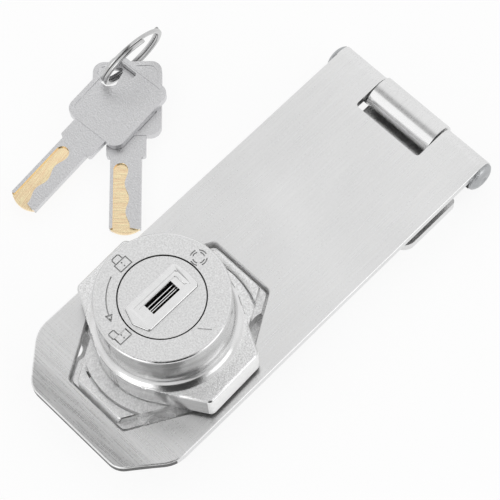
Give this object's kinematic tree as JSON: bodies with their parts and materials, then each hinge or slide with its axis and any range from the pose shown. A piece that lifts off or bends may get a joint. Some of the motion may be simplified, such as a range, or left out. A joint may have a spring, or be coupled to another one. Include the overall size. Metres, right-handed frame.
{
  "type": "fridge lock",
  "caption": "Hasp lock with a keyed twist knob that stands through a folded steel strap's opening, a hinged screw-down leaf, and two flat keys on a split ring.",
  "frame": {"origin": "on the knob's axis, in the mounting plane", "axes": "+X along the strap towards the hinge, +Y across the strap towards the keys, +Z out of the mounting plane"},
  "size_m": [0.1032, 0.0803, 0.0283],
  "materials": {
    "strap_steel": "brushed, light grey",
    "satin_casting": "satin, sand-blasted and plated",
    "polished_plate": "polished",
    "inner_steel": "plain",
    "inner_brass": "plain",
    "key_metal": "matt nickel over a pale yellow core",
    "ring_wire": "polished wire"
  },
  "bodies": {
    "leaf": {"hinge_leaf": "strap_steel", "key_1": "key_metal", "key_2": "key_metal", "key_ring": "ring_wire"},
    "strap": {"hasp_strap": "strap_steel", "hinge_pin": "polished_plate", "lock_base": "satin_casting", "bearing_plate": "satin_casting", "bearing_screws": "inner_steel", "friction_washer": "inner_steel"},
    "knob": {"knob": "satin_casting", "bolt_guide": "inner_steel", "hub_retainer": "inner_steel", "retainer_screws": "inner_steel", "detent_ball": "inner_steel", "detent_spring": "inner_steel"},
    "plug": {"plug": "satin_casting", "plug_face": "polished_plate", "dust_shutter": "inner_steel", "wafers": "inner_brass", "wafer_spring_strip": "inner_steel", "tail_cam": "inner_brass", "cam_screw": "inner_steel"},
    "bolt": {"locking_bolt": "inner_steel"}
  },
  "joints": [
    {"name": "strap_swing", "type": "hinge", "parent": "leaf", "child": "strap", "pos_m": [0.07165, 0, 0.00405], "axis": [0, 1, 0], "range_deg": [0, 160]},
    {"name": "knob_turn", "type": "hinge", "parent": "strap", "child": "knob", "pos_m": [0, 0, 0.01], "axis": [0, 0, 1], "range_deg": [0, 90]},
    {"name": "plug_turn", "type": "hinge", "parent": "knob", "child": "plug", "pos_m": [0, 0, 0.02], "axis": [0, 0, 1], "range_deg": [0, 90]},
    {"name": "bolt_slide", "type": "slide", "parent": "knob", "child": "bolt", "axis": [1, 0, 0], "range_m": [0, 0.0026]}
  ],
  "couplings": [
    {"joint": "bolt_slide", "follows": "plug_turn", "m_per_rad": 0.001655}
  ]
}
